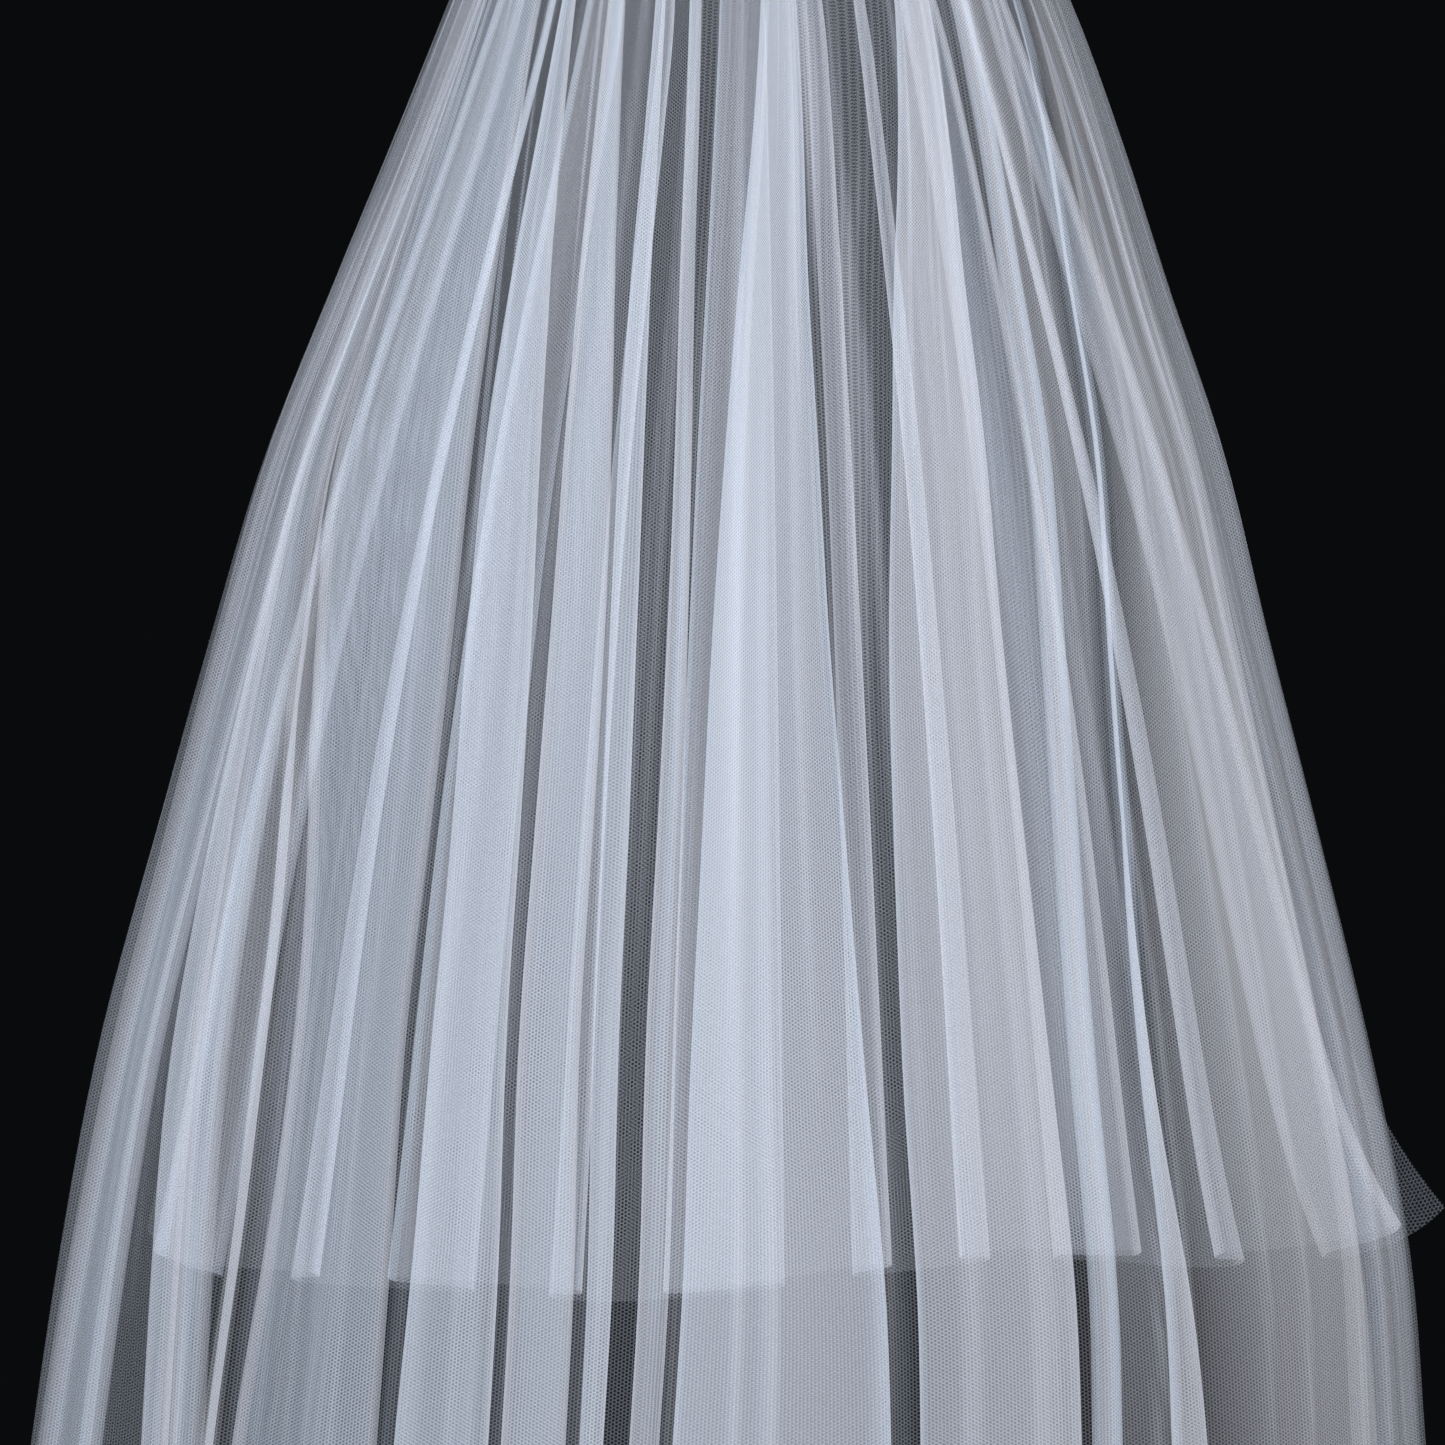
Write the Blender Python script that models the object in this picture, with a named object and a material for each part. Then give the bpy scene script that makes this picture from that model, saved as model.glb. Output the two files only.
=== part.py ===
"""Two-tier bridal veil on a hair comb, worn: a long tier down the back and a short tier over the face.

Metres, +Z up. The wearer faces +Y, so the back of the veil faces -Y. The origin is on the crown of the
head, under the middle of the comb. Each tier is one panel of soft net, gathered along its top edge,
that fans out from the comb in long folds and hangs open at the bottom and at the sides.
"""

import math

import bmesh
import bpy
import numpy as np

# The cloth's wall, in metres, and the most that a corner of it is drawn out
WALL = 0.001
MITRE_LIMIT = 1.6

# How far the cloth swells between two folds, as a share of a layer, and how far round one column
# of it reaches there, in degrees
SWELL = 0.35
GAP_STEP = 12.0

# Where the plain gathers end and the folds begin: in mm below the comb on the long tier, and in
# sections on the short one. STEP_SLOPE is how far a fold's middle layer leans in the gathers.
PLAIN_DROP = 20.0
PLAIN_ROW = 1.6
STEP_SLOPE = 0.33

# How high the gathered edges lie against the binding, how far they run straight along it, and how
# far the short tier's lower corner stands out by the right elbow, in mm
TOP_HEIGHT = 6.6
STRAIGHT_DROP = 25.0
STRAIGHT_ROW = 1.5
CORNER_FLARE = 68.0

# How much shorter the side edges are cut than the middle, as rounded corners
BACK_CORNER = 0.10
FRONT_CORNER = 0.035

# The comb and its binding, in metres
COMB_WIDTH = 0.095
COMB_ARCH = 0.010
BAR_DEPTH = 0.0030
BAR_HEIGHT = 0.0045
TEETH = 20
TOOTH_LENGTH = 0.036
TOOTH_LEAN = 0.007
TOOTH_TIP = 0.0009
TOOTH_STOPS = (0.35, 0.75, 1.0)
BINDING_DEPTH = 0.0090
BINDING_HEIGHT = 0.0040
SEAM = 0.0003

# How far round the wearer each tier reaches, in degrees from its own middle
BACK_REACH = 112.0
FRONT_REACH = 62.0

# The long tier in level sections, a row per section, in mm. drop is below the comb, half_width and
# centre_x are across the back, back_y is the middle of the back, edge_y the tier's side edges, and
# layer the distance between two layers of a fold.
BACK_SECTIONS = {
    "drop": (0, 12, 30, 60, 100, 140, 190, 250, 310, 380, 460, 540, 620, 700, 800, 900, 1000),
    "half_width": (46, 53, 65, 81, 97, 113, 131, 152, 173, 191, 211, 230, 244, 252, 262, 273, 283),
    "centre_x": (0, 0, 1, 2, 3, 4, 3, 0, -2, -4, -5, -6, -6, -9, -10, -10, -10),
    "back_y": (
        -5, -32, -56, -78, -92, -100, -108, -115, -121, -129, -139, -149, -159, -168, -180, -191, -202
    ),
    "edge_y": (-5, -6, 2, 10, 16, 20, 25, 30, 34, 38, 43, 48, 53, 58, 64, 70, 76),
    "layer": (0.0, 0.1, 1.5, 2.8, 3.6, 4.2, 4.9, 5.6, 6.3, 6.9, 7.5, 8.1, 8.8, 9.5, 10.5, 11.5, 12.5),
}
BACK_ROWS = (0, 5, 12, 22, 34, 50, 70, 96, 130, 175, 230, 290, 360, 440, 530, 620, 710, 800, 900, 1000)

# The long tier's folds from left to right as seen from behind, a row per fold. turn is +1 where the
# cloth comes up to the outer layer and -1 where it goes back in. Then the fold's left and right
# edges, in degrees round from the middle of the back, at each of FOLD_DROPS. wide folds are
# given more columns.
FOLD_DROPS = (130, 285, 534, 690, 1000)
BACK_FOLDS = (
    # name, turn, wide, neck, shoulder, elbow, waist, hem
    ("side_left_2", +1, 0, (-107, -103), (-108, -103), (-108, -102), (-108, -101), (-108, -101)),
    ("side_left_1", -1, 0, (-97, -91), (-98, -91), (-97, -89), (-97, -89), (-96, -88)),
    ("outer_left", +1, 0, (-84, -80), (-81, -75), (-77, -70.5), (-80, -71), (-80, -71)),
    ("left_3", -1, 0, (-76, -74), (-71.5, -68.5), (-66, -59), (-60.5, -54), (-59, -53)),
    ("left_2", +1, 0, (-71.5, -70), (-66.3, -64.8), (-57.3, -55.6), (-52.3, -50.8), (-51, -49.4)),
    ("left_1", -1, 0, (-67.8, -66.5), (-62.4, -61), (-49.8, -47.4), (-49, -47.4), (-47.6, -46)),
    ("broad_left", +1, 1, (-64.3, -49.5), (-58.6, -36.9), (-43, -32), (-44, -30.8), (-43, -30.4)),
    ("inner_left_3", -1, 0, (-42.8, -37.5), (-34.1, -26.4), (-28.6, -20.9), (-28.6, -19.8), (-28, -19.6)),
    ("inner_left_2", +1, 0, (-29.1, -27.2), (-22.5, -17.6), (-19.4, -14.4), (-18.4, -13.7), (-18.3, -13.5)),
    ("inner_left_1", -1, 0, (-20.3, -18.2), (-16, -12.8), (-13, -10.5), (-12.3, -10.3), (-12, -10)),
    ("centre", +1, 0, (-13.5, -11.8), (-8.8, -7.2), (-7.9, -5.6), (-8, -6), (-8, -6)),
    ("broad_middle", -1, 1, (-0.1, 5.6), (-2.2, 7.9), (-4, 11.1), (-4.7, 12.9), (-4.8, 13.8)),
    ("broad_right", +1, 1, (25, 32.3), (18.2, 30.2), (14.8, 29.4), (15.5, 30.1), (16.5, 30.6)),
    ("inner_right", -1, 0, (38, 39.6), (37, 38.6), (32, 33.3), (31.7, 32.9), (32.3, 33.5)),
    ("right_1", +1, 0, (54, 56), (47.5, 49.2), (38.8, 40.6), (38.6, 43.6), (40, 45)),
    ("outer_right", -1, 0, (73, 80), (74, 83), (79, 85), (79.5, 87), (79, 87)),
    ("side_right_1", +1, 0, (88, 93), (90, 96), (91, 97), (92, 98), (92, 98)),
    ("side_right_2", -1, 0, (101, 105), (102, 107), (102.5, 107.5), (103, 108), (103, 108)),
)

# The short tier in sections that tip forward over the crown, a row per section, in mm. front_y and
# front_z are its middle, edge_x, edge_y and edge_z its side edges.
FRONT_SECTIONS = {
    "front_y": (5, 30, 62, 92, 116, 132, 141, 147, 152, 158, 164, 170, 176, 182, 188),
    "front_z": (3, 10, 6, -12, -42, -82, -130, -185, -245, -310, -380, -450, -520, -590, -650),
    "edge_x": (46, 54, 63, 73, 85, 100, 117, 136, 156, 176, 194, 210, 224, 237, 249),
    "edge_y": (5, 10, 14, 20, 26, 32, 39, 45, 51, 56, 61, 66, 70, 74, 79),
    "edge_z": (-6, -15, -32, -58, -90, -130, -178, -230, -285, -345, -405, -465, -525, -585, -640),
    "layer": (0.0, 0.2, 1.4, 2.6, 3.5, 4.2, 4.9, 5.5, 6.1, 6.7, 7.3, 7.9, 8.5, 9.2, 10.0),
}
FRONT_ROWS = (0, 0.5, 1, 1.6, 2.3, 3, 3.7, 4.4, 5.2, 6, 7, 8, 9, 10, 11, 12, 13, 14)
FRONT_FOLD_ROWS = (6, 9, 14)
FRONT_FOLDS = (
    # name, turn, wide, chin, chest, hem
    ("front_1", +1, 0, (-57, -53), (-56.5, -52), (-56.5, -51)),
    ("front_2", -1, 0, (-46, -43), (-45, -42), (-44, -41)),
    ("front_3", +1, 1, (-36, -30), (-35, -28), (-34, -27)),
    ("front_4", -1, 0, (-22, -19), (-21, -18.5), (-21, -18)),
    ("front_5", +1, 0, (-13, -10), (-12, -9.5), (-12, -9)),
    ("front_6", -1, 1, (-3, 5), (-3, 6), (-3, 7)),
    ("front_7", +1, 0, (13, 16), (14, 16.5), (14, 17)),
    ("front_8", -1, 0, (24, 30), (24, 31), (24, 31)),
    ("front_9", +1, 0, (38, 41), (38.5, 41), (38, 41.5)),
    ("front_10", -1, 0, (50, 55), (50, 55.5), (50, 56)),
)


def smooth(at, knots, values):
    """A smooth curve through the table's values, with the end slopes carried on past its ends."""
    knots = np.asarray(knots, float)
    values = np.asarray(values, float)
    at = np.asarray(at, float)
    slopes = np.gradient(values, knots)
    i = np.clip(np.searchsorted(knots, at) - 1, 0, len(knots) - 2)
    step = knots[i + 1] - knots[i]
    t = (at - knots[i]) / step
    a, b = values[i], values[i + 1]
    p, q = slopes[i] * step, slopes[i + 1] * step
    inside = (
        (2 * t**3 - 3 * t**2 + 1) * a
        + (t**3 - 2 * t**2 + t) * p
        + (3 * t**2 - 2 * t**3) * b
        + (t**3 - t**2) * q
    )
    below = values[0] + slopes[0] * (at - knots[0])
    above = values[-1] + slopes[-1] * (at - knots[-1])
    return np.where(at < knots[0], below, np.where(at > knots[-1], above, inside))


def share(angle, reach):
    """1 at the tier's middle and 0 at its side edges, round an ellipse."""
    edge = math.cos(math.radians(reach))
    return (np.cos(np.radians(angle)) - edge) / (1 - edge)


def comb_arch(x):
    """The height of the comb's curve at x."""
    return -COMB_ARCH * (x / (COMB_WIDTH / 2)) ** 2


def start_blend(row_share):
    """1 on the comb, where the cloth runs straight along the bar, and 0 once it hangs round the head."""
    t = np.clip(row_share, 0, 1)
    return 1 - t * t * (3 - 2 * t)


def back_base(angle, drop):
    """The long tier without its folds, angle in degrees and drop in mm."""
    tab = BACK_SECTIONS
    half = smooth(drop, tab["drop"], tab["half_width"])
    centre = smooth(drop, tab["drop"], tab["centre_x"])
    back = smooth(drop, tab["drop"], tab["back_y"])
    edge = smooth(drop, tab["drop"], tab["edge_y"])
    k = start_blend(drop / STRAIGHT_DROP)
    x = centre + half * ((1 - k) * np.sin(np.radians(angle)) + k * angle / BACK_REACH)
    y = edge + (back - edge) * share(angle, BACK_REACH)
    z = 3.0 - drop + (TOP_HEIGHT - 3.0) * start_blend(drop / 40.0)
    z = z + 1000 * k * comb_arch(half * angle / BACK_REACH / 1000)
    return np.stack([x, y, z], axis=-1) / 1000


def front_base(angle, row):
    """The short tier without its folds, angle in degrees and row along its sections."""
    tab = FRONT_SECTIONS
    rows = np.arange(len(tab["layer"]))
    value = {name: smooth(row, rows, tab[name]) for name in tab}
    w = share(angle, FRONT_REACH)
    k = start_blend(row / STRAIGHT_ROW)
    across = np.sin(np.radians(angle)) / math.sin(math.radians(FRONT_REACH))
    x = -value["edge_x"] * ((1 - k) * across + k * angle / FRONT_REACH)
    x = x + CORNER_FLARE * np.clip(-angle / FRONT_REACH, 0, 1) ** 6 * (row / rows[-1]) ** 12
    y = value["edge_y"] + (value["front_y"] - value["edge_y"]) * w
    z = value["edge_z"] + (value["front_z"] - value["edge_z"]) * w
    z = (1 - k) * z + k * (TOP_HEIGHT + 1000 * comb_arch(x / 1000))
    return np.stack([x, y, z], axis=-1) / 1000


def fold_path(folds, column, lefts, rights, reach, slope):
    """One section of the folded cloth as (angle, level) pairs. Each fold is an S of three layers."""
    level = 0.0 if folds[0][1] > 0 else 2.0
    path = [(-reach, level)]
    previous = -reach
    for k, fold in enumerate(folds):
        left, right = lefts[k], rights[k]
        inner = right - left if fold[2] else 0.0
        path += gap(previous, right - inner, level, column[k])
        if fold[2]:
            path.append((left, level))
            path.append(((left + right) / 2, level))
        path.append((right, level))
        path.append((right, 1.0 - slope * fold[1]))
        if fold[2]:
            path.append(((left + right) / 2, 1.0))
        path.append((left, 1.0 + slope * fold[1]))
        level = 2.0 if fold[1] > 0 else 0.0
        path.append((left, level))
        if fold[2]:
            path.append(((left + right) / 2, level))
            path.append((right, level))
        previous = left + inner
    path += gap(previous, reach, level, column[-1])
    path.append((reach, level))
    return np.array(path)


def gap(start, end, level, count):
    """The cloth between two folds, swelling outwards on the outer layer and sinking in on the inner."""
    swell = SWELL if level > 1 else -SWELL
    points = []
    for i in range(count):
        t = (i + 1) / (count + 1)
        points.append((start + t * (end - start), level + swell * 4 * t * (1 - t)))
    return points


def gap_columns(folds, which, reach):
    """How many columns each stretch between two folds has, from its width in one of the table's columns."""
    ends = [-reach]
    for fold in folds:
        left, right = fold[which]
        ends += [left, left]
        if fold[2]:
            ends[-1] = right
        else:
            ends[-2] = right
    ends.append(reach)
    return [1 + int(max(0, ends[2 * k + 1] - ends[2 * k]) / GAP_STEP) for k in range(len(folds) + 1)]


def folded(folds, stops, at, amount, reach, column):
    """The fold path at one height, drawn into even gathers by amount: 1 on the comb, 0 hanging free."""
    lefts = [float(np.interp(at, stops, [edge[0] for edge in fold[3:]])) for fold in folds]
    rights = [float(np.interp(at, stops, [edge[1] for edge in fold[3:]])) for fold in folds]
    slope = STEP_SLOPE * min(max((amount - 0.2) / 0.4, 0.0), 1.0)
    path = fold_path(folds, column, lefts, rights, reach, slope)
    even = np.linspace(-reach, reach, len(path))
    path[:, 0] = (1 - amount) * path[:, 0] + amount * even
    return path


def back_grid(drops):
    """The long tier's middle surface, a row per drop."""
    column = gap_columns(BACK_FOLDS, 5, BACK_REACH)
    rows = []
    for drop in drops:
        amount = start_blend((drop - PLAIN_DROP) / (FOLD_DROPS[0] - PLAIN_DROP))
        at = max(drop, FOLD_DROPS[0])
        rows.append(folded(BACK_FOLDS, FOLD_DROPS, at, amount, BACK_REACH, column))
    rows = np.array(rows)
    angle, level = rows[:, :, 0], rows[:, :, 1]
    drop = np.asarray(drops, float)[:, None]
    drop = drop * (1 - BACK_CORNER * np.abs(angle / BACK_REACH) ** 8 * (drop / 1000) ** 2)
    layer = smooth(drop, BACK_SECTIONS["drop"], BACK_SECTIONS["layer"]) / 1000
    return lifted(back_base, angle, drop, level * layer, 0.5, 2.0)


def front_grid(sections):
    """The short tier's middle surface, a row per section."""
    column = gap_columns(FRONT_FOLDS, 4, FRONT_REACH)
    rows = []
    for row in sections:
        amount = start_blend((row - PLAIN_ROW) / (FRONT_FOLD_ROWS[0] - PLAIN_ROW))
        at = max(row, FRONT_FOLD_ROWS[0])
        rows.append(folded(FRONT_FOLDS, FRONT_FOLD_ROWS, at, amount, FRONT_REACH, column))
    rows = np.array(rows)
    angle, level = rows[:, :, 0], rows[:, :, 1]
    row = np.asarray(sections, float)[:, None]
    row = row * (1 - FRONT_CORNER * np.abs(angle / FRONT_REACH) ** 8 * (row / sections[-1]) ** 3)
    layer = smooth(row, np.arange(len(FRONT_SECTIONS["layer"])), FRONT_SECTIONS["layer"]) / 1000
    return lifted(front_base, angle, row, level * layer, 0.5, 0.02)


def lifted(base, angle, along, height, angle_step, along_step):
    """The base surface moved outwards by height, along its own normal."""
    low = np.maximum(along - along_step, 0)
    down = base(angle, along + along_step) - base(angle, low)
    across = base(angle + angle_step, along) - base(angle - angle_step, along)
    normal = np.cross(down, across)
    normal /= np.linalg.norm(normal, axis=-1, keepdims=True)
    return base(angle, along) + normal * height[..., None]


def walls(grid):
    """The two faces of the cloth, each half a wall from its middle surface, mitred at the folds."""
    down = np.gradient(grid, axis=0)
    before = grid - np.roll(grid, 1, axis=1)
    after = np.roll(grid, -1, axis=1) - grid
    before[:, 0] = after[:, 0]
    after[:, -1] = before[:, -1]
    one = np.cross(down, before)
    two = np.cross(down, after)
    one /= np.linalg.norm(one, axis=-1, keepdims=True)
    two /= np.linalg.norm(two, axis=-1, keepdims=True)
    both = one + two
    both /= np.linalg.norm(both, axis=-1, keepdims=True)
    mitre = np.minimum(1 / np.maximum((both * one).sum(-1), 1e-6), MITRE_LIMIT)
    half = both * (mitre * WALL / 2)[..., None]
    return grid + half, grid - half


def closed_shell(name, grid):
    """One closed body round a cloth's middle surface."""
    outer, inner = walls(grid)
    rows, columns = grid.shape[:2]
    points = np.concatenate([outer.reshape(-1, 3), inner.reshape(-1, 3)])
    under = rows * columns

    def at(r, c):
        return r * columns + c

    faces = []
    for r in range(rows - 1):
        for c in range(columns - 1):
            a, b, d, e = at(r, c), at(r, c + 1), at(r + 1, c + 1), at(r + 1, c)
            faces.append((a, b, d, e))
            faces.append((under + e, under + d, under + b, under + a))
    for c in range(columns - 1):
        for r, turned in ((0, False), (rows - 1, True)):
            a, b = at(r, c), at(r, c + 1)
            face = (a, under + a, under + b, b)
            faces.append(face[::-1] if turned else face)
    for r in range(rows - 1):
        for c, turned in ((0, True), (columns - 1, False)):
            a, b = at(r, c), at(r + 1, c)
            face = (a, under + a, under + b, b)
            faces.append(face[::-1] if turned else face)
    return body(name, points, faces)


def body(name, points, faces):
    """A named object with its faces turned outwards and its quads cut in two."""
    mesh = bpy.data.meshes.new(name)
    mesh.from_pydata([tuple(p) for p in points], [], faces)
    work = bmesh.new()
    work.from_mesh(mesh)
    bmesh.ops.triangulate(work, faces=work.faces[:], quad_method="SHORT_EDGE")
    bmesh.ops.recalc_face_normals(work, faces=work.faces[:])
    work.to_mesh(mesh)
    work.free()
    for face in mesh.polygons:
        face.use_smooth = True
    made = bpy.data.objects.new(name, mesh)
    bpy.context.scene.collection.objects.link(made)
    return made


def arched_bar(stops, depth, bottom, height, gaps_only):
    """A bar's corners and faces along the comb's arch. gaps_only leaves every second stretch open below."""
    points, faces = [], []
    for x in stops:
        low = comb_arch(x) + bottom
        points.append((x, -depth / 2, low))
        points.append((x, depth / 2, low))
        points.append((x, depth / 2, low + height))
        points.append((x, -depth / 2, low + height))
    last = 4 * (len(stops) - 1)
    faces.append((0, 1, 2, 3))
    faces.append((last + 3, last + 2, last + 1, last))
    for k in range(len(stops) - 1):
        a, b = 4 * k, 4 * (k + 1)
        for i in range(4):
            j = (i + 1) % 4
            if i or k % 2 or not gaps_only:
                faces.append((a + i, b + i, b + j, a + j))
    return points, faces


def add_tooth(points, faces, ring):
    """One tooth down from a ring of four corners, narrowing to its tip and leaning forward."""
    root = [np.array(points[i]) for i in ring]
    middle = sum(root) / 4
    for down in TOOTH_STOPS:
        centre = middle + np.array([0, TOOTH_LEAN * down**2, -TOOTH_LENGTH * down])
        narrow = max(1 - 0.75 * down**2, TOOTH_TIP / BAR_DEPTH)
        new = list(range(len(points), len(points) + 4))
        for corner in root:
            points.append(tuple(centre + (corner - middle) * [narrow, narrow, 0]))
        for i in range(4):
            j = (i + 1) % 4
            faces.append((ring[i], ring[j], new[j], new[i]))
        ring = new
    faces.append(tuple(ring))


def comb():
    """The bar with its row of teeth."""
    stops = np.linspace(-COMB_WIDTH / 2, COMB_WIDTH / 2, 2 * TEETH)
    points, faces = arched_bar(stops, BAR_DEPTH, 0.0, BAR_HEIGHT, True)
    for k in range(0, len(stops) - 1, 2):
        a, b = 4 * k, 4 * (k + 1)
        add_tooth(points, faces, [a, b, b + 1, a + 1])
    return body("comb", points, faces)


def binding():
    """The ribbon strip along the top of the bar, over both gathered edges."""
    half = COMB_WIDTH / 2 + 0.0005
    stops = np.linspace(-half, half, 17)
    points, faces = arched_bar(stops, BINDING_DEPTH, BAR_HEIGHT + SEAM, BINDING_HEIGHT, False)
    return body("comb_binding", points, faces)


def finish(made, name, colour, roughness, metallic):
    """Give an object its own material."""
    material = bpy.data.materials.new(name)
    material.use_nodes = True
    shader = material.node_tree.nodes["Principled BSDF"]
    shader.inputs["Base Color"].default_value = colour
    shader.inputs["Roughness"].default_value = roughness
    shader.inputs["Metallic"].default_value = metallic
    made.data.materials.append(material)


for old in list(bpy.data.objects):
    bpy.data.objects.remove(old, do_unlink=True)

back = closed_shell("back_tier", back_grid(BACK_ROWS))
front = closed_shell("front_tier", front_grid(FRONT_ROWS))
finish(back, "back_tier_net", (0.86, 0.90, 0.96, 1.0), 0.75, 0.0)
finish(front, "front_tier_net", (0.86, 0.90, 0.96, 1.0), 0.75, 0.0)
finish(comb(), "comb_metal", (0.80, 0.80, 0.78, 1.0), 0.30, 1.0)
finish(binding(), "binding_ribbon", (0.90, 0.91, 0.93, 1.0), 0.45, 0.0)
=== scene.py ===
# %% [markdown]
# # A two-tier bridal veil on a hair comb
# The veil is worn: a long tier of soft net falls down the back, and a short tier falls over the face.
# Both are gathered onto one comb on the crown. This lesson loads the rigid frame of the veil, then
# dresses it: net that can be seen through, folded as it hangs, a sewn ribbon over the gathers, and a
# wire comb.

# %% Load the frame
import math

import bmesh
import bpy
import mathutils
import numpy as np
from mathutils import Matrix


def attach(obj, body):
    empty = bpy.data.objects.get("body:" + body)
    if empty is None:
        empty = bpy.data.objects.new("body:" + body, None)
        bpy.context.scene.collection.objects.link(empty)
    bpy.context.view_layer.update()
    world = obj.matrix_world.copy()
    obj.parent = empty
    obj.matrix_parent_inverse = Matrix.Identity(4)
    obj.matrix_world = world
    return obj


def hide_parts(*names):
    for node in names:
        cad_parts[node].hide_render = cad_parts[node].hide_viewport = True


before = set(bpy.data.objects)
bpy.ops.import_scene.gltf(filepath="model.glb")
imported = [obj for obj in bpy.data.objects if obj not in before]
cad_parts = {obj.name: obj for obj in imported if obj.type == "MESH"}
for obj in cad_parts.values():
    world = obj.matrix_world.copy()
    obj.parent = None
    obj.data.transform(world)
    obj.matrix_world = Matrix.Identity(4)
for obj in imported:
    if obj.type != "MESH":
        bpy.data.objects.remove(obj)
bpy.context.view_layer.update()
print("frame nodes:", sorted(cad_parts))


# %% [markdown]
# ## Helpers for materials
# Colours are read from hex values as a screen shows them, and Blender computes with linear light, so one
# function converts them. A second one adds a node with its settings and links in a single line.

# %% Colour and node helpers
def colour(hex_value):
    """A screen colour such as '#F4F6FA' as linear light."""
    parts = [int(hex_value[i : i + 2], 16) / 255 for i in (1, 3, 5)]
    linear = [p / 12.92 if p <= 0.04045 else ((p + 0.055) / 1.055) ** 2.4 for p in parts]
    return (*linear, 1.0)


def node(tree, kind, settings=None, **inputs):
    """A node of that kind, with its settings, and its inputs given as values or as sockets to link."""
    made = tree.nodes.new(kind)
    for name, value in (settings or {}).items():
        setattr(made, name, value)
    for name, value in inputs.items():
        socket = made.inputs[int(name[1:])] if name[0] == "_" else made.inputs[name.replace("_", " ")]
        if isinstance(value, bpy.types.NodeSocket):
            tree.links.new(value, socket)
        else:
            socket.default_value = value
    return made


def new_material(name):
    """A material with its Principled shader, ready for links."""
    made = bpy.data.materials.new(name)
    made.use_nodes = True
    return made, made.node_tree, made.node_tree.nodes["Principled BSDF"]


# %% [markdown]
# ## The shape of the tiers
# Each tier hangs as a curtain round the wearer. Without its folds it is a stack of sections, wide and
# rounded at the hem and straight where it is sewn to the comb. The sections are given in millimetres in
# tables with one column per size, and a smooth curve runs through each column. Sculpting would give a
# similar surface, but a table keeps the real sizes in sight.

# %% Sections of the long tier
BACK_REACH = 112.0
BACK_SECTIONS = {
    "drop": (0, 12, 30, 60, 100, 140, 190, 250, 310, 380, 460, 540, 620, 700, 800, 900, 1000),
    "half_width": (46, 53, 65, 81, 97, 113, 131, 152, 173, 191, 211, 230, 244, 252, 262, 273, 283),
    "centre_x": (0, 0, 1, 2, 3, 4, 3, 0, -2, -4, -5, -6, -6, -9, -10, -10, -10),
    "back_y": (-5, -32, -56, -78, -92, -100, -108, -115, -121, -129, -139, -149, -159, -168, -180, -191, -202),
    "edge_y": (-5, -6, 2, 10, 16, 20, 25, 30, 34, 38, 43, 48, 53, 58, 64, 70, 76),
    "layer": (0.0, 0.1, 1.5, 2.8, 3.6, 4.2, 4.9, 5.6, 6.3, 6.9, 7.5, 8.1, 8.8, 9.5, 10.5, 11.5, 12.5),
}

# %% Sections of the short tier
FRONT_REACH = 62.0
FRONT_SECTIONS = {
    "front_y": (5, 30, 62, 92, 116, 132, 141, 147, 152, 158, 164, 170, 176, 182, 188),
    "front_z": (3, 10, 6, -12, -42, -82, -130, -185, -245, -310, -380, -450, -520, -590, -650),
    "edge_x": (46, 54, 63, 73, 85, 100, 117, 136, 156, 176, 194, 210, 224, 237, 249),
    "edge_y": (5, 10, 14, 20, 26, 32, 39, 45, 51, 56, 61, 66, 70, 74, 79),
    "edge_z": (-6, -15, -32, -58, -90, -130, -178, -230, -285, -345, -405, -465, -525, -585, -640),
    "layer": (0.0, 0.2, 1.4, 2.6, 3.5, 4.2, 4.9, 5.5, 6.1, 6.7, 7.3, 7.9, 8.5, 9.2, 10.0),
}

# %% Sizes shared by both tiers
COMB_WIDTH = 0.095
COMB_ARCH = 0.010
TOP_HEIGHT = 6.6
CORNER_FLARE = 68.0
BACK_CORNER = 0.10
FRONT_CORNER = 0.035


# %% Curves through the tables
def smooth(at, knots, values):
    """A smooth curve through the table's values."""
    knots, values, at = (np.asarray(a, float) for a in (knots, values, at))
    slopes = np.gradient(values, knots)
    at = np.clip(at, knots[0], knots[-1] + 30)
    i = np.clip(np.searchsorted(knots, at) - 1, 0, len(knots) - 2)
    step = knots[i + 1] - knots[i]
    t = (at - knots[i]) / step
    p, q = slopes[i] * step, slopes[i + 1] * step
    inside = (
        (2 * t**3 - 3 * t**2 + 1) * values[i]
        + (t**3 - 2 * t**2 + t) * p
        + (3 * t**2 - 2 * t**3) * values[i + 1]
        + (t**3 - t**2) * q
    )
    return np.where(at > knots[-1], values[-1] + slopes[-1] * (at - knots[-1]), inside)


def ease(t):
    """1 at the start, falling gently to 0."""
    t = np.clip(t, 0, 1)
    return 1 - t * t * (3 - 2 * t)


def share(angle, reach):
    """1 at the tier's middle and 0 at its side edges."""
    edge = math.cos(math.radians(reach))
    return (np.cos(np.radians(angle)) - edge) / (1 - edge)


def comb_arch(x):
    """The height of the comb's curve at x."""
    return -COMB_ARCH * (x / (COMB_WIDTH / 2)) ** 2


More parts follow.
